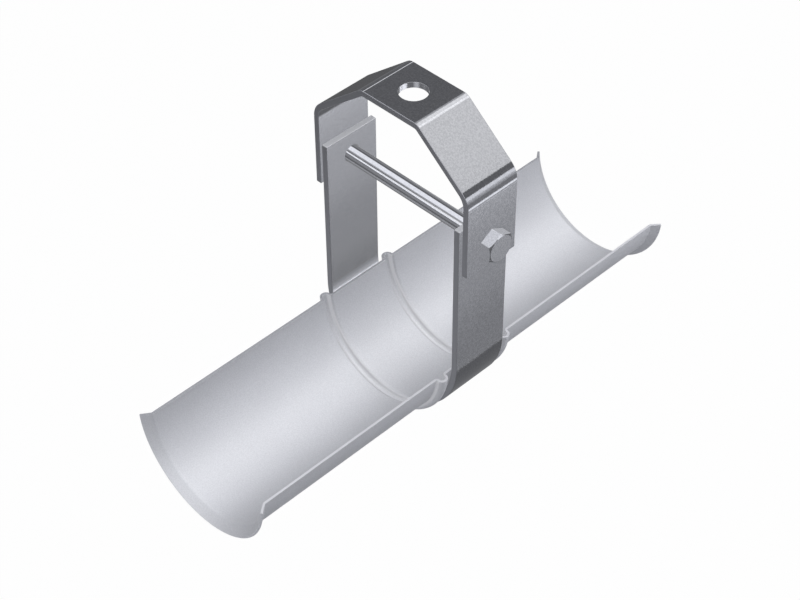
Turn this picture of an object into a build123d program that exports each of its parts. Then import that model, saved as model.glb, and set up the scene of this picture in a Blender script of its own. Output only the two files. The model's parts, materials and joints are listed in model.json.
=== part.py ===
from build123d import *

import os
from math import asin, cos, degrees, radians, tan

# A clevis pipe hanger with an insulation shield seated in its lower strap.
# X runs along the cross bolt, Y along the pipe and Z up. The origin is on the
# shield's axis, midway along it. Every size is in millimetres.

# Insulation shield: a half-round trough, roll-formed from galvanised sheet
shield_length = 304.8
shield_inner_radius = 42.5
sheet_thickness = 1.3
shield_edge_drop = 3.1
bead_bend_radius = 1.95
bead_to_strap = 1.95
flare_length = 5.2
flare_rise = 4.0
flare_bend_radius = 2.0

# Lower strap: a flat bar bent to a U
strap_width = 35.4
strap_thickness = 3.6
shield_side_clearance = 1.6
shield_seat_gap = 0.25
strap_end_above_bolt = 13.6

# Upper yoke: a flat bar bent over a flat top, with a straight ear at each side
yoke_width = 35.0
yoke_thickness = 3.4
strap_to_ear_gap = 2.0
ear_end_below_bolt = 13.6
shoulder_above_bolt = 35.5
yoke_top_above_bolt = 64.0
top_half_span = 19.7
top_bend_radius = 6.3
shoulder_bend_radius = 12.5
rod_hole_radius = 7.7

# Cross bolt and its nut
bolt_above_shield_axis = 82.4
bolt_radius = 4.76
bolt_hole_clearance = 0.4
nut_thread_clearance = 0.05
hex_across_flats = 15.8
hex_turn = 31.0
hex_chamfer_angle = 30.0
hex_face_share = 0.95
head_height = 6.6
nut_height = 8.2
bolt_end_past_nut = 3.0
bolt_end_chamfer = 0.9

# The sheared edges of both bars are tumbled to a small round
bar_edge_radius = 0.35

# Places that follow from the sizes above
shield_outer_radius = shield_inner_radius + sheet_thickness
strap_inner_radius = shield_outer_radius + shield_side_clearance
strap_outer_radius = strap_inner_radius + strap_thickness
strap_bend_z = strap_inner_radius - shield_outer_radius - shield_seat_gap
strap_end_z = bolt_above_shield_axis + strap_end_above_bolt
ear_inner_x = strap_outer_radius + strap_to_ear_gap
ear_outer_x = ear_inner_x + yoke_thickness
ear_end_z = bolt_above_shield_axis - ear_end_below_bolt
shoulder_z = bolt_above_shield_axis + shoulder_above_bolt
yoke_top_z = bolt_above_shield_axis + yoke_top_above_bolt
bead_start = strap_width / 2 + bead_to_strap
bolt_hole_radius = bolt_radius + bolt_hole_clearance
bolt_axis = Plane(origin=(0, 0, bolt_above_shield_axis), x_dir=(0, 1, 0), z_dir=(1, 0, 0))


def rounded(blank, end_faces):
    """Round the edges of a bent bar's two sides and two ends, and leave its bend lines alone."""
    sides = blank.faces().filter_by(Axis.Y)
    sheared = ShapeList(set((sides + end_faces).edges()))
    return fillet(sheared, bar_edge_radius)


def bolt_holes(half_span):
    """A rod along X at bolt height, long enough to cut both legs of a strap."""
    return bolt_axis * Cylinder(bolt_hole_radius, 2 * half_span)


def lower_strap():
    """The inside line of the U, thickened outwards, at the bar's width, with a hole in each leg."""
    with BuildPart() as blank:
        with BuildSketch(Plane.XZ):
            with BuildLine():
                leg = Line((-strap_inner_radius, strap_end_z), (-strap_inner_radius, strap_bend_z))
                bend = JernArc(leg @ 1, leg % 1, strap_inner_radius, 180)
                Line(bend @ 1, (strap_inner_radius, strap_end_z))
                offset(amount=strap_thickness, side=Side.RIGHT)
            make_face()
        extrude(amount=strap_width / 2, both=True)
    ends = blank.faces().filter_by(Axis.Z).sort_by(Axis.Z)[-2:]
    return rounded(blank.part, ends) - bolt_holes(ear_inner_x)


def upper_yoke():
    """The outside line of the arch, thickened inwards, with a rod hole on top and a hole in each ear."""
    corners = [
        (-ear_outer_x, ear_end_z),
        (-ear_outer_x, shoulder_z),
        (-top_half_span, yoke_top_z),
        (top_half_span, yoke_top_z),
        (ear_outer_x, shoulder_z),
        (ear_outer_x, ear_end_z),
    ]
    bends = [shoulder_bend_radius, top_bend_radius, top_bend_radius, shoulder_bend_radius]
    with BuildPart() as blank:
        with BuildSketch(Plane.XZ):
            with BuildLine():
                FilletPolyline(*corners, radius=bends)
                offset(amount=yoke_thickness, side=Side.RIGHT)
            make_face()
        extrude(amount=yoke_width / 2, both=True)
    ends = blank.faces().filter_by(Axis.Z).sort_by(Axis.Z)[:2]
    rod_hole = Pos(0, 0, yoke_top_z) * Cylinder(rod_hole_radius, 4 * yoke_thickness)
    return rounded(blank.part, ends) - bolt_holes(ear_outer_x + yoke_thickness) - rod_hole


def hexagon(height, both_ends):
    """A hex blank that starts on the XY plane, with its corners turned off at the top or at both ends."""
    corner_radius = hex_across_flats / 2 / cos(radians(30))
    inset = corner_radius - hex_across_flats / 2 * hex_face_share
    depth = inset * tan(radians(hex_chamfer_angle))
    turned = Cylinder(corner_radius, height, align=(Align.CENTER, Align.CENTER, Align.MIN))
    ends = turned.faces().filter_by(GeomType.PLANE).sort_by(Axis.Z)
    for end in ends if both_ends else ends[-1:]:
        turned = chamfer(end.edges(), inset, depth, reference=end)
    flats = RegularPolygon(hex_across_flats / 2, 6, major_radius=False, rotation=hex_turn)
    return turned & extrude(flats, height)


def cross_bolt():
    """Head against the +X ear, shank through both straps, end past the nut on the -X ear."""
    shank_length = 2 * ear_outer_x + nut_height + bolt_end_past_nut
    shank = Cylinder(bolt_radius, shank_length, align=(Align.CENTER, Align.CENTER, Align.MAX))
    shank = chamfer(shank.edges().sort_by(Axis.Z)[0], bolt_end_chamfer)
    return bolt_axis * Pos(0, 0, ear_outer_x) * (hexagon(head_height, False) + shank)


def hex_nut():
    """Nut against the -X ear, with a clearance bore round the bolt's thread."""
    bore = Cylinder(bolt_radius + nut_thread_clearance, 3 * nut_height)
    return bolt_axis * Pos(0, 0, -ear_outer_x - nut_height) * (hexagon(nut_height, True) - bore)


def insulation_shield():
    """The sheet's section along Y, with its two beads and two flares, turned about the pipe's axis."""
    edge_angle = degrees(asin(shield_edge_drop / shield_inner_radius))
    section_plane = Plane(origin=(0, 0, 0), x_dir=(0, 1, 0), z_dir=(0, 0, -1)).rotated((0, edge_angle, 0))
    flare_start = shield_length / 2 - flare_length
    with BuildPart() as shield:
        with BuildSketch(section_plane):
            with BuildLine():
                middle = Line((0, shield_inner_radius), (bead_start, shield_inner_radius))
                rise = JernArc(middle @ 1, middle % 1, bead_bend_radius, 90)
                crest = JernArc(rise @ 1, rise % 1, bead_bend_radius, -180)
                fall = JernArc(crest @ 1, crest % 1, bead_bend_radius, 90)
                FilletPolyline(
                    fall @ 1,
                    (flare_start, shield_inner_radius),
                    (shield_length / 2, shield_inner_radius + flare_rise),
                    radius=flare_bend_radius,
                )
                mirror(about=Plane.YZ)
                offset(amount=sheet_thickness, side=Side.LEFT)
            make_face()
        revolve(axis=Axis.Y, revolution_arc=180 - 2 * edge_angle)
    return shield.part


nodes = {
    "upper_yoke": upper_yoke,
    "lower_strap": lower_strap,
    "cross_bolt": cross_bolt,
    "hex_nut": hex_nut,
    "insulation_shield": insulation_shield,
}

os.makedirs("parts", exist_ok=True)
for name, make in nodes.items():
    node = make()
    export_step(node, f"parts/{name}.step")
    box = node.bounding_box()
    print(name, len(node.solids()), round(node.volume, 1), box.min, box.max)
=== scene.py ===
import json
import math

import bpy
import numpy as np
from mathutils import Matrix, Vector


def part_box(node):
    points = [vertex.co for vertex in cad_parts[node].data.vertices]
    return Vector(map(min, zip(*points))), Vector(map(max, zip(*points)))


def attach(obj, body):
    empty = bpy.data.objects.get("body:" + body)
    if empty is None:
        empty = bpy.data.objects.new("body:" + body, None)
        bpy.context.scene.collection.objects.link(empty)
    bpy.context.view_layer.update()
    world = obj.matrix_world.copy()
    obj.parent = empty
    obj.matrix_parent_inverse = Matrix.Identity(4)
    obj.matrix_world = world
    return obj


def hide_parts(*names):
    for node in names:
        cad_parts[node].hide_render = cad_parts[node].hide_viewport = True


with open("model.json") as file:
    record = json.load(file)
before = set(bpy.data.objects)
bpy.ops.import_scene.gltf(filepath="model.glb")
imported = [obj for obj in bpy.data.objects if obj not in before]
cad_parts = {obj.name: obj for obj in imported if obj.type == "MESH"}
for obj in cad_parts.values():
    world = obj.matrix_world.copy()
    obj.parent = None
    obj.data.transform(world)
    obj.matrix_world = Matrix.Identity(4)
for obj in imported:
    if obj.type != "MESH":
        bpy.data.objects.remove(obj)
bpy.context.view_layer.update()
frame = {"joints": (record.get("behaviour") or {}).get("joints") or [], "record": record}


# Insulation shield
# A half-round trough of galvanised sheet, 1.3 mm thick, which spreads the load on the pipe's insulation.
# It is rolled with two outward beads that keep the strap between them, and its ends are flared.
# It lies loose in the strap.

shield_high = np.array(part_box("insulation_shield")[1])
mount_radius = {mount["name"]: mount["dims"]["r_mm"] / 1000 for mount in frame["record"]["mounts"]}
shield_bore = mount_radius["insulation_saddle"]
sheet_thickness = 0.0013
shield_half_length = shield_high[1]
shield_edge_angle = math.asin(-shield_high[2] / shield_bore)
strap_half_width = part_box("lower_strap")[1][1]
bead_gap = 0.00195
bead_bend = 0.00195
bead_start = strap_half_width + bead_gap
flare_length = 0.0052
flare_rise = 0.004
flare_bend = 0.002
sheared_round = 0.00018
points_round_trough = 150
sharp_angle = math.radians(35)
nanometre = 1e-9


def bent_line(corners, radii):
    """A flat line through corners, each rounded to its radius, as a dict of its stretches.

    A rounding of radius r that turns by t takes r tan(t / 2) off both its straights and is r t long.
    Straights and roundings take turns, and each has a start, a heading, a curvature and a length.
    """
    steps = np.diff(np.array(corners, float), axis=0)
    straight_heading = np.unwrap(np.arctan2(steps[:, 1], steps[:, 0]))
    turns = np.diff(straight_heading)
    radii = np.array(radii, float)
    taken = radii * np.tan(np.abs(turns) / 2)
    stretches = 2 * len(radii) + 1
    length, curvature = np.zeros(stretches), np.zeros(stretches)
    length[0::2] = np.linalg.norm(steps, axis=1) - np.append(taken, 0) - np.insert(taken, 0, 0)
    length[1::2] = radii * np.abs(turns)
    length = np.maximum(length, 0)
    curvature[1::2] = np.sign(turns) / radii
    heading = np.repeat(straight_heading, 2)[:stretches]
    middle = heading + curvature * length / 2
    chord = length * np.sinc(curvature * length / 2 / np.pi)
    moves = chord[:, None] * np.stack([np.cos(middle), np.sin(middle)], 1)
    begin = np.array(corners[0], float) + np.vstack([np.zeros(2), np.cumsum(moves, 0)[:-1]])
    start = np.insert(np.cumsum(length)[:-1], 0, 0.0)
    return {"start": start, "begin": begin, "heading": heading, "curvature": curvature, "length": length}


def along(line, distance):
    """Points and left-hand normals of a bent line at an array of distances.

    Over a distance d at curvature c the line moves d sinc(c d / 2) along its heading plus c d / 2,
    which is also right where c is nought. Before its start and past its end it runs on straight.
    """
    stretch = np.clip(np.searchsorted(line["start"], distance, side="right") - 1, 0, len(line["start"]) - 1)
    covered = distance - line["start"][stretch]
    half_turn = line["curvature"][stretch] * covered / 2
    middle = line["heading"][stretch] + half_turn
    chord = covered * np.sinc(half_turn / np.pi)
    points = line["begin"][stretch] + chord[:, None] * np.stack([np.cos(middle), np.sin(middle)], 1)
    final = middle + half_turn
    return points, np.stack([-np.sin(final), np.cos(final)], 1)


def stations(line, straight_step, turn_step):
    """Distances at which a bent line is cut into rings: by length on straights and by angle on bends."""
    turned = np.abs(line["curvature"]) * line["length"]
    pieces = np.ceil(np.maximum(line["length"] * (turned == 0) / straight_step, turned / turn_step))
    spans = zip(line["start"], line["length"], pieces.astype(int))
    cuts = [np.linspace(start, start + length, count + 1)
            for start, length, count in spans if length > nanometre]
    return np.unique(np.round(np.concatenate(cuts), 9))


def cell_faces(rings, ring_points, closed_rings):
    """Corners of the four-sided cells between rings of points, where every ring closes on itself."""
    gaps = rings if closed_rings else rings - 1
    ring, point = np.meshgrid(np.arange(gaps), np.arange(ring_points), indexing="ij")
    next_ring, next_point = (ring + 1) % rings, (point + 1) % ring_points
    corners = [(ring, point), (ring, next_point), (next_ring, next_point), (next_ring, point)]
    return np.stack([a * ring_points + b for a, b in corners], -1).reshape(-1, 4)


def new_piece(name, points, faces):
    """An object at the origin from points in metres and lists of face corners, shaded smooth."""
    mesh = bpy.data.meshes.new(name)
    mesh.from_pydata(np.reshape(points, (-1, 3)).tolist(), [], faces)
    mesh.shade_smooth()
    mesh.set_sharp_from_angle(angle=sharp_angle)
    piece = bpy.data.objects.new(name, mesh)
    bpy.context.scene.collection.objects.link(piece)
    weighted = piece.modifiers.new("flat faces stay flat", "WEIGHTED_NORMAL")
    weighted.keep_sharp = True
    return piece


def shield_surface():
    """The sheet's rounded cross-section carried along its line from one flared lip to the other.

    The line is the sheet's inner face in a plane through the pipe's axis, as distance along the axis
    and from it. A point of the sheet lies at a depth from the line's middle face and at an angle phi
    round the axis, at x = -r cos(phi) and z = -r sin(phi). The loop goes round the sheet's edge:
    over the inner face, round one sheared edge, back over the outer face and round the other.
    """
    flare_start = shield_half_length - flare_length
    bead = [bead_start + bead_bend, bead_start + 3 * bead_bend]
    crest = shield_bore + 2 * bead_bend
    half = [(bead[0], shield_bore), (bead[0], crest), (bead[1], crest), (bead[1], shield_bore),
            (flare_start, shield_bore), (shield_half_length, shield_bore + flare_rise)]
    corners = [(-y, r) for y, r in reversed(half)] + half
    radii = [flare_bend] + [bead_bend] * 8 + [flare_bend]
    line = bent_line(corners, radii)
    total = line["length"].sum()

    round_steps = np.radians([0, 30, 60, 90])
    lip_inset = sheared_round * (1 - np.cos(round_steps))
    lip_reach = sheared_round * (1 - np.sin(round_steps))
    inner = stations(line, straight_step=0.006, turn_step=math.radians(9))
    inner = inner[(inner > sheared_round) & (inner < total - sheared_round)]
    distance = np.concatenate([lip_reach[::-1], inner, total - lip_reach])
    inset = np.concatenate([lip_inset[::-1], np.zeros(len(inner)), lip_inset])
    points, outward = along(line, distance)
    middle = points + outward * sheet_thickness / 2

    across = np.linspace(shield_edge_angle, math.pi - shield_edge_angle, points_round_trough)[1:-1]
    half_thick = sheet_thickness / 2
    edge_steps = np.radians([90, 60, 30, 0])
    edge_depth = half_thick - sheared_round + sheared_round * np.sin(edge_steps)
    edge_slip = sheared_round * (1 - np.cos(edge_steps)) / shield_bore
    near_phi = math.pi - shield_edge_angle - edge_slip
    far_phi = shield_edge_angle + edge_slip
    phi = np.concatenate([across, near_phi, near_phi[::-1], across[::-1], far_phi, far_phi[::-1]])
    depth = np.concatenate([np.full(len(across), -half_thick), -edge_depth, edge_depth[::-1],
                            np.full(len(across), half_thick), edge_depth, -edge_depth[::-1]])

    kept = 1 - inset[:, None] / half_thick
    radius = middle[:, 1:] + depth * kept * outward[:, 1:]
    length = middle[:, :1] + depth * kept * outward[:, :1]
    surface = np.stack([-radius * np.cos(phi), length + 0 * radius, -radius * np.sin(phi)], -1)

    # Each lip is closed by cells from the inner face's points there to the outer face's points back.
    faces = cell_faces(len(distance), len(phi), False).tolist()
    edge_points = len(edge_steps)
    there = np.arange(-edge_points, len(across) + edge_points - 1)
    back = np.arange(len(phi) - edge_points - 1, len(across) + edge_points, -1)
    lip = np.stack([there, there + 1, back - 1, back], -1) % len(phi)
    last = (len(distance) - 1) * len(phi)
    faces += lip[:, ::-1].tolist() + (lip + last).tolist()
    return surface, faces


points, faces = shield_surface()
shield = new_piece("saddle_sheet", points, faces)


class Value:
    """A node's output in a formula. Each operator adds one Math node and gives its result."""

    def __init__(self, finish, socket):
        self.finish = finish
        self.socket = socket

    def math(self, operation, *others):
        return self.finish.node("ShaderNodeMath", {"operation": operation}, [self, *others])

    def __add__(self, other):
        return self.math("ADD", other)

    __radd__ = __add__

    def __sub__(self, other):
        return self.math("SUBTRACT", other)

    def __rsub__(self, other):
        return self.finish.node("ShaderNodeMath", {"operation": "SUBTRACT"}, [other, self])

    def __mul__(self, other):
        return self.math("MULTIPLY", other)

    __rmul__ = __mul__

    def __gt__(self, other):
        return self.math("GREATER_THAN", other)

    def __lt__(self, other):
        return self.math("LESS_THAN", other)

    def output(self, name):
        return Value(self.finish, self.socket.node.outputs[name])


class Finish:
    """The nodes of one material, or of the room's world."""

    def __init__(self, owner):
        self.owner = owner
        owner.use_nodes = True
        self.tree = owner.node_tree
        self.tree.nodes.clear()

    def node(self, kind, settings, sockets):
        """Adds a node, sets its settings and then its inputs, by name or in order. Gives its first output."""
        made = self.tree.nodes.new(kind)
        for setting, value in settings.items():
            setattr(made, setting, value)
        used = [s for s in made.inputs if s.enabled]
        pairs = sockets.items() if isinstance(sockets, dict) else zip((s.name for s in used), sockets)
        for place, (name, value) in enumerate(pairs):
            into = next(s for s in used if s.name == name) if isinstance(sockets, dict) else used[place]
            if isinstance(value, Value):
                self.tree.links.new(value.socket, into)
            else:
                into.default_value = value
        return Value(self, next((s for s in made.outputs if s.enabled), None))

    def grain(self, place, size, detail):
        """Noise from 0 to 1 at a place, with lumps of about a size in metres, or in each direction's size."""
        scaled = place
        if not isinstance(size, (int, float)):
            stretch = [1 / s for s in size]
            scaled = self.node("ShaderNodeVectorMath", {"operation": "MULTIPLY"}, [place, stretch])
            size = 1
        return self.node("ShaderNodeTexNoise", {}, {"Vector": scaled, "Scale": 1 / size, "Detail": detail})

    def blend(self, share, first, second):
        """Colour between two colours by a share from 0 to 1."""
        return self.node("ShaderNodeMix", {"data_type": "RGBA"}, {"Factor": share, "A": first, "B": second})

    def clamped(self, value, low, high):
        """How far a value lies between two limits, from 0 to 1, with soft ends."""
        settings = {"interpolation_type": "SMOOTHSTEP"}
        return self.node("ShaderNodeMapRange", settings, {"Value": value, "From Min": low, "From Max": high})


def linear(hex_colour):
    """A written sRGB colour as the linear red, green, blue and alpha that shaders use."""
    channels = np.array([int(hex_colour[i:i + 2], 16) for i in (1, 3, 5)]) / 255
    light = np.where(channels <= 0.04045, channels / 12.92, ((channels + 0.055) / 1.055) ** 2.4)
    return (*light.tolist(), 1.0)


# The sheet's zinc is pale, with faint clouds and a fine grain from the bath. The beads carry painted light:
# their walls, from 0.3 mm out, are painted lighter, and their floors less, to offset the shade in the
# grooves.
# Its ends and its +X edge are sheared, which leaves bare bright steel. Its -X edge is the strip's own, coated
# a little duller than its faces.
cut_skin = 0.00012
sheet = Finish(bpy.data.materials.new("galvanised_sheet"))
place = sheet.node("ShaderNodeTexCoord", {}, {}).output("Object")
axes = sheet.node("ShaderNodeSeparateXYZ", {}, [place])
side, lengthwise, height = axes, axes.output("Y"), axes.output("Z")
clouds = sheet.grain(place, 0.030, 3.0)
fine = sheet.grain(place, 0.0006, 1.0)
edge_slope = math.tan(shield_edge_angle)
over_edge = height + edge_slope * side > -cut_skin
over_mill_edge = height - edge_slope * side > -cut_skin
from_middle = lengthwise.math("ABSOLUTE")
cut = over_edge.math("MAXIMUM", from_middle > shield_half_length - cut_skin)
from_axis = sheet.node("ShaderNodeVectorMath", {"operation": "MULTIPLY"}, [place, (1, 0, 1)])
from_axis = sheet.node("ShaderNodeVectorMath", {"operation": "LENGTH"}, [from_axis])
# Painted light in the beads: their walls are painted lighter, and their floors only a little, against the
# grooves' shade.
bead_wall = sheet.clamped(from_axis, shield_bore + 0.0003, shield_bore + 0.0010)
bead_floor = sheet.clamped(from_axis, shield_bore + 0.0026, shield_bore + 0.0034)
in_band = (from_middle > bead_start) * (from_middle < bead_start + 4 * bead_bend)
bead_painted_light = (0.55 * bead_wall - 0.47 * bead_floor) * in_band
zinc = sheet.blend(sheet.clamped(clouds, 0.3, 0.7), linear("#d4d5d9"), linear("#d7d8dc"))
zinc = sheet.blend(sheet.clamped(fine, 0.2, 0.8) * 0.60, zinc, linear("#c1c2c7"))
# The painted light in the beads blends the zinc towards near white.
zinc = sheet.blend(bead_painted_light, zinc, linear("#f6f6f8"))
zinc = sheet.blend(over_mill_edge, zinc, linear("#a6a7ac"))
bump = sheet.node("ShaderNodeBump", {}, {"Strength": 0.15, "Distance": 0.0002, "Height": fine})
coat = sheet.node("ShaderNodeBsdfPrincipled", {}, {
    "Base Color": sheet.blend(cut, zinc, linear("#e6e6ea")),
    "Metallic": 0.72 - 0.62 * cut,
    "Roughness": 0.60 + 0.04 * clouds,
    "Normal": bump,
})
sheet.node("ShaderNodeOutputMaterial", {}, {"Surface": coat})
shield.data.materials.append(sheet.owner)
shield.visible_glossy = False  # Mirror images show the room alone, here and on the pieces below.
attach(shield, "cradle")
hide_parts("insulation_shield")


# Lower strap
# A flat steel bar, 35.4 by 3.6 mm, bent to a U round the shield. Its two legs hang on the cross bolt.
# It is zinc plated, and its rolled faces keep fine marks along the bar.

strap_low, strap_high = (np.array(corner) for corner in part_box("lower_strap"))
strap_thickness = 0.0036
bolt_height = frame["joints"][0]["pos_m"][2]
bolt_hole_radius = 0.00516
bar_corner = 0.00035
bar_end_round = 0.0003
hole_rim = 0.00012
press_mark_width = 0.00022
press_mark_depth = 0.00016
press_mark_reach = 0.0006
press_mark_rings = 13
points_round_hole = 96


def closed_faces(rings, ring_points, order):
    """Faces of a skin with a cap at either end. An order of 1 or -1 says which way round their corners go."""
    ring = np.arange(ring_points)
    caps = [ring[::-order].tolist(), (ring + (rings - 1) * ring_points)[::order].tolist()]
    return cell_faces(rings, ring_points, False)[:, ::order].tolist() + caps


def bar_section(width, thickness, corner, inset):
    """A rounded rectangle, across the bar and in depth from its outer face, smaller by an inset all round."""
    turn = np.radians(np.linspace(0, 90, 5))
    radius = corner - inset
    quarter = [(1, 1, turn), (-1, 1, turn[::-1]), (-1, -1, turn), (1, -1, turn[::-1])]
    half_width, half_thick = width / 2 - inset - radius, thickness / 2 - inset - radius
    across = np.concatenate([sx * (half_width + radius * np.cos(a)) for sx, sz, a in quarter])
    depth = np.concatenate([thickness / 2 - sz * (half_thick + radius * np.sin(a)) for sx, sz, a in quarter])
    return across, depth


def bent_bar(name, line, width, thickness, marks):
    """A flat bar carried along a bent line that its outer face follows, in the plane of X and Z.

    Each ring is the bar's section at a distance along the line. A ring near an end is smaller by
    q (1 - cos a) at q (1 - sin a) from it, which rounds the end. Where the press held the bar, its outer
    face is lower by a bell curve of the distance from that mark.
    """
    total = line["length"].sum()
    bow = np.radians([0, 30, 60, 88])
    near_end = bar_end_round * (1 - np.sin(bow))
    end_inset = bar_end_round * (1 - np.cos(bow))
    cuts = stations(line, straight_step=0.010, turn_step=math.radians(3))
    fine_cuts = [np.linspace(m - press_mark_reach, m + press_mark_reach, press_mark_rings) for m in marks]
    cuts = np.unique(np.round(np.concatenate([cuts, *fine_cuts]), 8))
    cuts = cuts[(cuts > 2 * bar_end_round) & (cuts < total - 2 * bar_end_round)]
    distance = np.concatenate([near_end[::-1], cuts, total - near_end])
    inset = np.concatenate([end_inset[::-1], np.zeros(len(cuts)), end_inset])
    sections = [bar_section(width, thickness, bar_corner, i) for i in inset]
    across = np.array([s[0] for s in sections])
    depth = np.array([s[1] for s in sections])
    press = sum(np.exp(-((distance - m) / press_mark_width) ** 2) for m in marks)
    depth = depth + press_mark_depth * np.reshape(press + 0 * distance, (-1, 1)) * (1 - depth / thickness)
    points, outward = along(line, distance)
    flat = points[:, None, :] - depth[:, :, None] * outward[:, None, :]
    surface = np.stack([flat[..., 0], across, flat[..., 1]], -1)
    ring = across.shape[1]
    piece = new_piece(name, surface, closed_faces(len(distance), ring, -1))
    lay = piece.data.uv_layers.new(name="bar_lay")
    corner_point = np.zeros(len(piece.data.loops), np.int32)
    piece.data.loops.foreach_get("vertex_index", corner_point)
    run = np.repeat(distance, ring)[corner_point]
    wide = across.ravel()[corner_point]
    lay.data.foreach_set("uv", np.stack([run, wide], 1).astype(np.float32).ravel())
    return piece


def punch_hole(piece, centre, axis, radius, thickness):
    """Cuts a round hole with rounded rims through a flat stretch of bar.

    The punch is turned: its radius is r through the bar, and grows by q (1 - cos a) over the last q sin a
    before each face.
    """
    past_face, past_bar = 0.00002, 0.0008
    swell = np.radians([0, 22.5, 45, 67.5, 90])
    rim_reach = thickness / 2 - hole_rim + hole_rim * np.sin(swell) + past_face
    rim_radius = radius + hole_rim * (1 - np.cos(swell))
    clear = thickness / 2 + past_bar
    height = np.concatenate([[-clear], -rim_reach[::-1], rim_reach, [clear]])
    wide = np.concatenate([[rim_radius[-1]], rim_radius[::-1], rim_radius, [rim_radius[-1]]])
    angle = np.linspace(0, 2 * np.pi, points_round_hole, endpoint=False)
    wide, height = wide[:, None], height[:, None]
    ring = np.stack([wide * np.cos(angle), wide * np.sin(angle), height + 0 * angle], -1)
    turned = np.array(Vector((0, 0, 1)).rotation_difference(Vector(axis)).to_matrix())
    points = ring @ turned.T + np.array(centre)
    punch = new_piece("punch", points, closed_faces(len(height), len(angle), 1))
    punch.modifiers.clear()
    cut = piece.modifiers.new("punched hole", "BOOLEAN")
    cut.object = punch
    cut.operation = "DIFFERENCE"
    cut.solver = "EXACT"
    weighted = piece.modifiers["flat faces stay flat"]
    weighted.show_viewport = False
    bpy.context.view_layer.update()
    cut_mesh = bpy.data.meshes.new_from_object(piece.evaluated_get(bpy.context.evaluated_depsgraph_get()))
    piece.modifiers.remove(cut)
    weighted.show_viewport = True
    piece.data = cut_mesh
    cut_mesh.name = piece.name
    cut_mesh.shade_smooth()
    cut_mesh.set_sharp_from_angle(angle=sharp_angle)
    bpy.data.objects.remove(punch)


strap_outer = strap_high[0]
strap_line = bent_line(
    [(strap_outer, strap_high[2]), (strap_outer, strap_low[2]),
     (-strap_outer, strap_low[2]), (-strap_outer, strap_high[2])],
    [strap_outer, strap_outer],
)
strap = bent_bar("hung_strap", strap_line, strap_high[1] - strap_low[1], strap_thickness, [])
for hole_side in (-1, 1):
    hole_x = hole_side * (strap_outer - strap_thickness / 2)
    punch_hole(strap, (hole_x, 0, bolt_height), (1, 0, 0), bolt_hole_radius, strap_thickness)

sheared_from, sheared_fully = 0.0005, 0.0002
# Reach of the painted light on the faces between the strap's legs and between the yoke's ears.
painted_light_margin = 0.0001
painted_light_fade = 0.006
painted_light_foot = -0.015


def plated_bar(name, tone, worn_tone, half_width, half_length, holes, inner):
    """Zinc plated flat bar: a sandy mottle, faint mill marks, duller sheared sides, brighter ends and holes.

    A punched hole is given by the radius that its wall lies within, its centre, and a vector with 0 along
    its axis and 1 across it. The faces that look at each other carry painted light: they are lighter by a
    share, which fades out just under their highest level. They are given by the distance from the middle
    plane that they lie within, their lowest and highest level, and that share.
    """
    bar = Finish(bpy.data.materials.new(name))
    lay = bar.node("ShaderNodeUVMap", {"uv_map": "bar_lay"}, {})
    place = bar.node("ShaderNodeTexCoord", {}, {}).output("Object")
    sand = bar.grain(place, 0.0009, 3.0)
    marks = bar.grain(lay, (0.016, 0.0005, 1.0), 2.0)
    relief = sand + 0.15 * marks
    bump = bar.node("ShaderNodeBump", {}, {"Strength": 0.20, "Distance": 0.00010, "Height": relief})
    run = bar.node("ShaderNodeSeparateXYZ", {}, [lay])
    from_centre = run.output("Y").math("ABSOLUTE")
    sheared = bar.clamped(from_centre, half_width - sheared_from, half_width - sheared_fully)
    walls = []
    for radius, centre, across in holes:
        from_hole = bar.node("ShaderNodeVectorMath", {"operation": "SUBTRACT"}, [place, centre])
        from_hole = bar.node("ShaderNodeVectorMath", {"operation": "MULTIPLY"}, [from_hole, across])
        from_hole = bar.node("ShaderNodeVectorMath", {"operation": "LENGTH"}, [from_hole])
        walls.append(from_hole < radius)
    punched = sum(walls[1:], walls[0])
    sawn = ((run - half_length).math("ABSOLUTE") > half_length - bar_end_round) * (1 - punched)
    # Painted light: the faces between the legs or ears, which look at each other, are painted lighter by a
    # share.
    within, lowest, highest, share = inner
    spot = bar.node("ShaderNodeSeparateXYZ", {}, [place])
    level = spot.output("Z")
    below = 1 - bar.clamped(level, highest - painted_light_fade, highest)
    facing = (spot.math("ABSOLUTE") < within) * (level > lowest) * below
    rolled = bar.blend(bar.clamped(sand, 0.35, 0.65), linear(tone), linear(worn_tone))
    rolled = bar.blend(share * facing, rolled, linear("#c4c5c9"))
    coated = bar.blend(sheared, rolled, linear("#8f9095"))
    coat = bar.node("ShaderNodeBsdfPrincipled", {}, {
        "Base Color": bar.blend(punched + sawn, coated, linear("#bcbdc1")),
        "Metallic": 1.0,
        "Roughness": 0.07 + 0.05 * sand + 0.25 * sheared + 0.12 * punched + 0.40 * sawn,
        "Normal": bump,
    })
    bar.node("ShaderNodeOutputMaterial", {}, {"Surface": coat})
    return bar.owner


strap.data.materials.clear()
bolt_holes = (bolt_hole_radius + hole_rim, (0, 0, bolt_height), (0, 1, 1))
half_length = strap_line["length"].sum() / 2
# Painted light on the strap's inner faces, from below the bolt up past its top, lighter by 0.62.
inner = (strap_outer - strap_thickness + painted_light_margin, painted_light_foot, strap_high[2] + painted_light_fade, 0.62)
strap.data.materials.append(
    plated_bar("plated_strap", "#98999d", "#a6a7ab", strap_high[1], half_length, [bolt_holes], inner)
)
strap.visible_glossy = False
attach(strap, "cradle")
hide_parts("lower_strap")


# Upper yoke
# A flat steel bar, 35 by 3.4 mm, bent over a flat top to two sloped shoulders and two straight ears.
# The hanger rod goes through the hole in its top, and the ears carry the cross bolt. It is zinc plated.

yoke_low, yoke_high = (np.array(corner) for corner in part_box("upper_yoke"))
yoke_thickness = 0.0034
shoulder_height = bolt_height + 0.0355
top_half_span = 0.0197
top_bend = 0.0063
shoulder_bend = 0.0125
rod_radius = mount_radius["rod_hole"]

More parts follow.
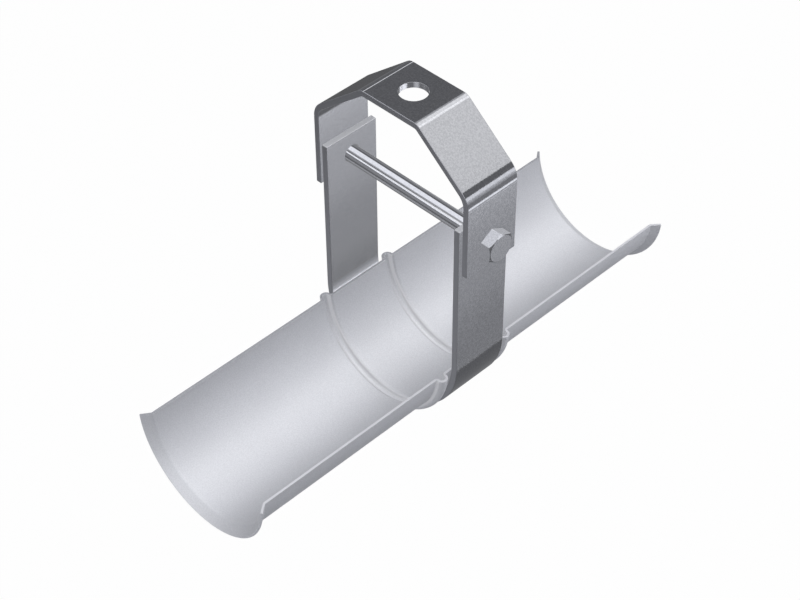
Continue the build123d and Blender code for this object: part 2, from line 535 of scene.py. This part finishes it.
yoke_line = bent_line(
    [(yoke_low[0], yoke_low[2]), (yoke_low[0], shoulder_height), (-top_half_span, yoke_high[2]),
     (top_half_span, yoke_high[2]), (yoke_high[0], shoulder_height), (yoke_high[0], yoke_low[2])],
    [shoulder_bend, top_bend, top_bend, shoulder_bend],
)
bend_starts = yoke_line["start"][1::2]
bend_ends = bend_starts + yoke_line["length"][1::2]
press_marks = [bend_starts[0], bend_ends[1], bend_ends[3]]
yoke = bent_bar("arched_yoke", yoke_line, yoke_high[1] - yoke_low[1], yoke_thickness, press_marks)
for hole_side in (-1, 1):
    hole_x = hole_side * (yoke_high[0] - yoke_thickness / 2)
    punch_hole(yoke, (hole_x, 0, bolt_height), (1, 0, 0), bolt_hole_radius, yoke_thickness)
punch_hole(yoke, (0, 0, yoke_high[2] - yoke_thickness / 2), (0, 0, 1), rod_radius, yoke_thickness)
yoke.data.materials.clear()
holes = [bolt_holes, (rod_radius + hole_rim, (0, 0, 0), (1, 1, 0))]
half_length = yoke_line["length"].sum() / 2
# Painted light on the yoke's inner faces, from the ears' foot, fading out under the shoulders, lighter by
# 0.60.
inner = (yoke_high[0] - yoke_thickness + painted_light_margin, yoke_low[2] - 0.001, shoulder_height, 0.60)
yoke.data.materials.append(
    plated_bar("plated_yoke", "#9a9b9f", "#a8a9ad", yoke_high[1], half_length, holes, inner)
)
yoke.visible_glossy = False
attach(yoke, "yoke")
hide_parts("upper_yoke")


# Cross bolt
# A 3/8 inch hex bolt, zinc plated and semi-bright, through both ears and both legs, with its head on +X.
# It is cold headed, and its thread is rolled on the last stretch, past the far leg.

bolt_low, bolt_high = (np.array(corner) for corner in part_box("cross_bolt"))
bolt_radius = 0.00476
across_flats = 0.0158
hex_turn = math.radians(31)
hex_corner_round = 0.0003
head_seat = yoke_high[0]
face_share = 0.95
cone_slope = math.tan(math.radians(30))
seat_step = 0.0002
thread_pitch = 0.0254 / 16
thread_depth = 0.00082
thread_end = -0.0462
crest_inset = 0.00004
crest_share = 0.07
flank_share = 0.33
runout_pitches = 1.2
end_chamfer = 0.0011
shank_inset = 0.0005
bolt_rows_per_pitch = 16
side_angles = np.radians([0, 5, 11, 17, 22, 25.5, 27.4, 28.4, 29.1, 29.6])


def hex_reach(angle, flats):
    """Distance from a hexagon's axis to its side in a direction, with its upright edges rounded.

    On a flat it is half the width across flats over the cosine of the angle from the flat's middle.
    Near an edge it is where the ray leaves the circle that rounds that edge.
    """
    from_flat = np.abs((angle + np.pi / 6) % (np.pi / 3) - np.pi / 6)
    flat_reach = flats / 2 / np.cos(from_flat)
    centre = (flats / 2 - hex_corner_round) / math.cos(math.pi / 6)
    from_edge = np.pi / 6 - from_flat
    inside = np.maximum(hex_corner_round ** 2 - (centre * np.sin(from_edge)) ** 2, 0)
    edge_reach = centre * np.cos(from_edge) + np.sqrt(inside)
    on_edge = centre * np.sin(from_edge) < hex_corner_round / 2
    return np.where(on_edge, edge_reach, flat_reach)


def hex_angles():
    """Directions round a hexagon from a flat's middle, closer together at its six edges."""
    half = np.concatenate([-side_angles[:0:-1], side_angles, [math.pi / 6]])
    return np.concatenate([half + k * math.pi / 3 for k in range(6)])


def thread_radius(x, angle, depth):
    """Radius of a thread with flat crests and roots that climbs one pitch in a turn, at x along its axis."""
    climb = (x / thread_pitch - angle / (2 * np.pi)) % 1
    groove = np.clip((0.5 - np.abs(climb - 0.5) - crest_share) / flank_share, 0, 1)
    return bolt_radius - crest_inset - depth * groove


def on_bolt_axis(x, radius, angle):
    """Points at a distance x along the bolt and a radius from its axis, by the angle from +Y to +Z."""
    turned = angle + hex_turn + math.pi / 6
    return np.stack([x + 0 * radius, radius * np.cos(turned), bolt_height + radius * np.sin(turned)], -1)


angle = hex_angles()
reach = hex_reach(angle, across_flats)
face_radius = across_flats / 2 * face_share
head_top = bolt_high[0]
share = np.array([0.0, 0.04, 0.5, 1.0])[:, None]
cone_radius = face_radius + share * (reach - face_radius)
cone_x = head_top - (cone_radius - face_radius) * cone_slope
side_share = np.array([0.02, 0.5, 0.97])[:, None]
side_x = cone_x[-1] + side_share * (head_seat - cone_x[-1])
side_radius = np.repeat(reach[None, :], 3, 0)
halves = np.array([0.0, 0.5, 1.0])[:, None]
seat_radius = halves * (bolt_radius - reach + seat_step) + reach - seat_step
head_x = np.vstack([cone_x, side_x, np.full_like(seat_radius, head_seat)])
head_radius = np.vstack([cone_radius, side_radius, seat_radius])
shank_x = np.array([head_seat - shank_inset, 0.03, 0.0, -0.03, thread_end + shank_inset])
rows = int((thread_end - bolt_low[0]) / thread_pitch * bolt_rows_per_pitch)
thread_x = np.linspace(thread_end, bolt_low[0], rows)
runout = np.clip((thread_end - thread_x) / (runout_pitches * thread_pitch), 0, 1)[:, None]
threaded = thread_radius(thread_x[:, None], angle, thread_depth * runout)
end_cone = bolt_radius - end_chamfer + (thread_x[:, None] - bolt_low[0])
threaded = np.minimum(threaded, end_cone)
long_x = np.concatenate([shank_x, thread_x])
all_x = np.vstack([head_x, np.repeat(long_x[:, None], len(angle), 1)])
all_radius = np.vstack([head_radius, np.full((len(shank_x), len(angle)), bolt_radius), threaded])
points = on_bolt_axis(all_x, all_radius, angle)
bolt = new_piece("hex_bolt", points, closed_faces(len(points), len(angle), -1))

bright = Finish(bpy.data.materials.new("bright_zinc"))
place = bright.node("ShaderNodeTexCoord", {}, {}).output("Object")
drawn = bright.grain(place, (0.03, 0.0004, 0.0004), 2.0)
speckle = bright.grain(place, 0.0009, 2.0)
bump = bright.node("ShaderNodeBump", {}, {"Strength": 0.05, "Distance": 0.0001, "Height": drawn + speckle})
coat = bright.node("ShaderNodeBsdfPrincipled", {}, {
    "Base Color": bright.blend(bright.clamped(speckle, 0.35, 0.65), linear("#a6a7ab"), linear("#b0b1b5")),
    "Metallic": 1.0,
    "Roughness": 0.06 + 0.04 * drawn,
    "Normal": bump,
})
bright.node("ShaderNodeOutputMaterial", {}, {"Surface": coat})
bolt.data.materials.append(bright.owner)
bolt.visible_glossy = False
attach(bolt, "yoke")
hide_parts("cross_bolt")


# Nut
# A plain hex nut, zinc plated like the bolt, run up against the outside of the far ear.
# Both its ends are turned to a cone, and its thread fits the bolt's with a small clearance.

nut_low, nut_high = (np.array(corner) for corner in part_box("hex_nut"))
nut_clearance = 0.00005
mouth_chamfer = 0.0005
nut_rows_per_pitch = 14

cone_radius = face_radius + halves * (reach - face_radius)
cone_drop = (cone_radius - face_radius) * cone_slope
near_x, near_radius = nut_high[0] - cone_drop, cone_radius
far_x, far_radius = (nut_low[0] + cone_drop)[::-1], cone_radius[::-1]
rows = int((nut_high[0] - nut_low[0]) / thread_pitch * nut_rows_per_pitch)
bore_x = np.linspace(nut_low[0], nut_high[0], rows)
bore = thread_radius(bore_x[:, None], angle, thread_depth) + nut_clearance
mouth = bolt_radius + mouth_chamfer - np.minimum(bore_x - nut_low[0], nut_high[0] - bore_x)
bore = np.maximum(bore, mouth[:, None])
all_x = np.vstack([near_x, far_x, np.repeat(bore_x[:, None], len(angle), 1)])
all_radius = np.vstack([near_radius, far_radius, bore])
points = on_bolt_axis(all_x, all_radius, angle)
nut = new_piece("run_up_nut", points, cell_faces(len(points), len(angle), True)[:, ::-1].tolist())
nut.data.materials.append(bright.owner)
nut.visible_glossy = False
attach(nut, "yoke")
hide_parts("hex_nut")


# Floor and light
# A white room with a plain pale floor well below the hanging part. Four wide soft lights hang overhead and
# two at the front left, and one fills from the right. Cards along the pipe give the metal its tones.

floor_height = -0.42
floor_half = 30.0


def white_where_seen(room_part, lit, share):
    """White to the camera, in reflections and through glass, by a share that leaves the shadow.

    To all other light it is as lit.
    """
    ray = room_part.node("ShaderNodeLightPath", {}, {})
    mirrored = ray.output("Is Glossy Ray").math("MAXIMUM", ray.output("Is Transmission Ray"))
    seen = ray.output("Is Camera Ray").math("MAXIMUM", mirrored)
    kind = "ShaderNodeBackground" if room_part.owner.id_type == "WORLD" else "ShaderNodeEmission"
    white = room_part.node(kind, {}, {"Color": (1, 1, 1, 1), "Strength": 1.0})
    return room_part.node("ShaderNodeMixShader", {}, [share * seen, lit, white])


def flat_sheet(name, points, radiance=None):
    """A sheet of the stage over rows of points. With a radiance it glows, and only reflections show it."""
    points = np.array(points, float)
    rows, columns = points.shape[:2]
    row, column = np.meshgrid(np.arange(rows - 1), np.arange(columns - 1), indexing="ij")
    corner = (row * columns + column).reshape(-1, 1)
    mesh = bpy.data.meshes.new(name)
    mesh.from_pydata(points.reshape(-1, 3).tolist(), [], (corner + [0, 1, columns + 1, columns]).tolist())
    stand = bpy.data.objects.new(name, mesh)
    bpy.context.scene.collection.objects.link(stand)
    look = Finish(bpy.data.materials.new(name))
    mesh.materials.append(look.owner)
    if radiance is None:
        lit = look.node("ShaderNodeBsdfDiffuse", {}, {"Color": (0.90, 0.90, 0.91, 1)})
        shown = white_where_seen(look, lit, 0.98)
    else:
        stand.visible_camera = stand.visible_diffuse = stand.visible_shadow = False
        shown = look.node("ShaderNodeEmission", {}, {"Color": (0.98, 0.988, 1.025, 1), "Strength": radiance})
    look.node("ShaderNodeOutputMaterial", {}, {"Surface": shown})


def card(name, profile, reach, radiance):
    """A glowing or dark card that runs along the pipe over a reach, bent along a profile of X and Z."""
    flat_sheet(name, [[(x, y, z) for y in reach] for x, z in profile], radiance)


def soft_light(name, edges, reach, radiance, mirrored=True):
    """A flat light along the pipe over a reach, between two edges in X and Z, facing the hanging part."""
    (x0, z0), (x1, z1) = edges
    width, length = math.hypot(x1 - x0, z1 - z0), reach[1] - reach[0]
    lamp = bpy.data.lights.new(name, "AREA")
    lamp.shape = "RECTANGLE"
    lamp.size, lamp.size_y = width, length
    lamp.energy = radiance * math.pi * width * length
    stand = bpy.data.objects.new(name, lamp)
    bpy.context.scene.collection.objects.link(stand)
    stand.visible_camera = False
    stand.visible_glossy = mirrored
    across = Vector((x1 - x0, 0, z1 - z0)).normalized()
    centre = Vector(((x0 + x1) / 2, sum(reach) / 2, (z0 + z1) / 2))
    facing = across.cross(Vector((0, 1, 0)))
    if facing.dot(centre) < 0:
        facing, across = -facing, -across
    turn = Matrix((across, Vector((0, 1, 0)), facing)).transposed().to_4x4()
    stand.matrix_world = Matrix.Translation(centre) @ turn


floor_sides = (-floor_half, floor_half)
flat_sheet("floor", [[(x, y, floor_height) for y in floor_sides] for x in floor_sides])
world = bpy.data.worlds.new("studio_room")
bpy.context.scene.world = world
room = Finish(world)
ambient = room.node("ShaderNodeBackground", {}, {"Color": (0.955, 0.98, 1.06, 1), "Strength": 0.32})
room.node("ShaderNodeOutputWorld", {}, {"Surface": white_where_seen(room, ambient, 1.0)})

# Each light has its two edges in X and Z, its reach along Y and its radiance.
soft_light("overhead_near", [(0.75, 1.25), (0.55, 1.30)], (-1.5, 2.0), 1.20)
soft_light("overhead", [(0.54, 1.30), (0.31, 1.35)], (-1.5, 2.0), 1.45)
soft_light("overhead_middle", [(0.29, 1.36), (-0.36, 1.42)], (-1.5, 2.0), 0.85)
soft_light("overhead_right", [(0.97, 1.17), (0.77, 1.25)], (-0.9, 2.0), 0.45)
soft_light("overhead_front", [(-0.37, 1.42), (-0.80, 1.20)], (-1.6, -0.9), 0.6)
soft_light("front_strip", [(-0.62, 0.86), (-0.80, 0.70)], (-1.35, -0.80), 1.65)
soft_light("right_fill", [(1.00, 0.90), (0.60, 1.24)], (-0.8, 1.0), 0.4, mirrored=False)

# Each card has its profile in X and Z, its reach along Y and its radiance. The wide dark one on the right
# lies under the smaller ones that lie just above the floor.
under, low = floor_height + 0.004, floor_height + 0.01
left_high = [(-0.55, 1.38), (-0.98, 1.08)]
right_low, right_high = [(1.48, 0.11), (1.48, 0.62)], [(1.48, 0.63), (0.99, 1.17)]
card("front_strip_low", [(-0.81, 0.69), (-0.87, 0.52)], (-1.45, -0.90), 2.2)
card("overhead_left", left_high, (-0.42, 0.60), 1.9)
card("overhead_left_end", left_high, (-0.52, -0.43), 1.45)
card("front_left_gap", left_high, (-0.86, -0.53), 0.65)
card("back_left_mid", [(-0.56, 1.42), (-0.74, 1.25)], (0.67, 3.0), 0.75)
card("back_left_dark", [(-0.75, 1.24), (-1.30, 0.70), (-1.30, low), (-1.00, low)], (0.67, 1.35), 0.26)
card("back_left_grey", [(-0.75, 1.24), (-1.30, 0.70), (-1.30, -0.05)], (1.36, 3.0), 0.45)
card("back_left_foot", [(-1.30, -0.06), (-1.30, low), (-1.00, low)], (1.36, 3.0), 0.26)
card("back_left_glint", [(-1.29, -0.38), (-1.29, 0.15)], (1.95, 2.7), 0.85)
card("floor_back_left", [(-1.00, low), (-0.65, low)], (0.40, 1.5), 0.12)
card("left_dark", [(-1.02, low), (-1.40, low), (-1.40, 0.02)], (-0.70, 0.66), 0.26)
card("left_grey", [(-1.40, 0.03), (-1.40, 0.70), (-1.15, 0.95)], (-0.70, 0.66), 0.45)
card("front_left_dark", [(-0.70, low), (-0.95, low), (-0.95, 0.34)], (-2.2, -0.7), 0.50)
card("front_left_high", [(-0.96, 0.35), (-1.45, 0.80), (-1.00, 1.30)], (-2.4, -0.87), 0.30)
card("right_floor_dark", [(0.31, under), (1.48, under)], (-2.2, 2.6), 0.24)
card("right_foot_dark", [(1.48, under), (1.48, 0.10)], (-2.2, 2.6), 0.28)
card("right_dark", right_low, (0.39, 1.72), 0.28)
card("gap_dark", right_high, (0.39, 1.72), 0.28)
card("right_back_low", right_low, (1.73, 3.2), 0.70)
card("right_back_high", right_high, (1.73, 3.2), 1.85)
card("right_front_low", right_low, (-0.8, 0.38), 0.60)
card("right_front_high", right_high, (-0.8, 0.38), 1.55)
card("right_far_front", [(1.48, 0.11), (1.48, 0.64), (1.30, 0.84)], (-2.2, -0.81), 0.28)
card("front_right_high", [(1.70, 1.00), (0.95, 1.45)], (-2.6, -1.55), 2.4)
card("front_high", [(0.90, 1.48), (0.10, 1.53)], (-2.4, -1.35), 1.9)
card("below_front", [(-0.50, low), (0.30, low)], (-0.52, -0.1), 0.60)
card("below_left", [(-1.00, low), (-0.51, low)], (-1.3, 0.39), 0.24)
card("below_front_dark", [(-0.50, low), (0.08, low)], (-1.3, -0.53), 0.22)
card("below_front_mid", [(0.09, low), (0.62, low)], (-0.95, -0.53), 0.80)
card("below_dark", [(-0.50, low), (0.30, low)], (-0.09, 1.5), 0.24)
card("below_mid", [(0.305, low), (0.37, low)], (0.1, 0.57), 0.48)
card("below_light", [(0.372, low), (0.41, low)], (0.1, 0.57), 0.70)
card("floor_mid", [(0.412, low), (0.447, low)], (0.1, 0.57), 0.64)
card("floor_mid_far", [(0.449, low), (0.503, low)], (0.1, 0.57), 0.84)
card("floor_glint", [(0.18, low + 0.004), (0.45, low + 0.004)], (0.58, 0.9), 1.8)
card("floor_bright", [(0.505, low), (0.80, low)], (0.08, 0.8), 2.0)
card("floor_dark", [(0.81, low), (1.45, low), (1.45, -0.18)], (0.2, 1.4), 0.42)
card("window_foot", [(1.45, -0.17), (1.45, 0.03)], (0.4, 1.7), 0.75)
card("window_low", [(1.45, 0.04), (1.45, 0.19)], (0.4, 1.7), 1.1)
card("window_bright", [(1.45, 0.20), (1.45, 0.60)], (0.4, 1.7), 1.65)


# Camera
# The photograph looks down on the hanger from the front right, close enough for its lines to draw together.

camera_azimuth = math.radians(45.471)
camera_elevation = math.radians(43.049)
camera_roll = math.radians(-0.394)
camera_place = Vector((0.5330, -0.5346, 0.7126))
focal_length_px = 1925.4
photo_width_px = 800

camera = bpy.data.objects.new("camera", bpy.data.cameras.new("camera"))
bpy.context.scene.collection.objects.link(camera)
bpy.context.scene.camera = camera
camera.data.sensor_width = 36.0
camera.data.lens = focal_length_px / photo_width_px * camera.data.sensor_width
level_reach = math.cos(camera_elevation)
looking = Vector((
    -math.sin(camera_azimuth) * level_reach,
    math.cos(camera_azimuth) * level_reach,
    -math.sin(camera_elevation),
))
rightwards = Vector((math.cos(camera_azimuth), math.sin(camera_azimuth), 0))
upwards = rightwards.cross(looking)
right = math.cos(camera_roll) * rightwards + math.sin(camera_roll) * upwards
top = right.cross(looking)
turn = Matrix((right, top, -looking)).transposed().to_4x4()
camera.matrix_world = Matrix.Translation(camera_place) @ turn
bpy.context.scene.view_settings.view_transform = "Standard"
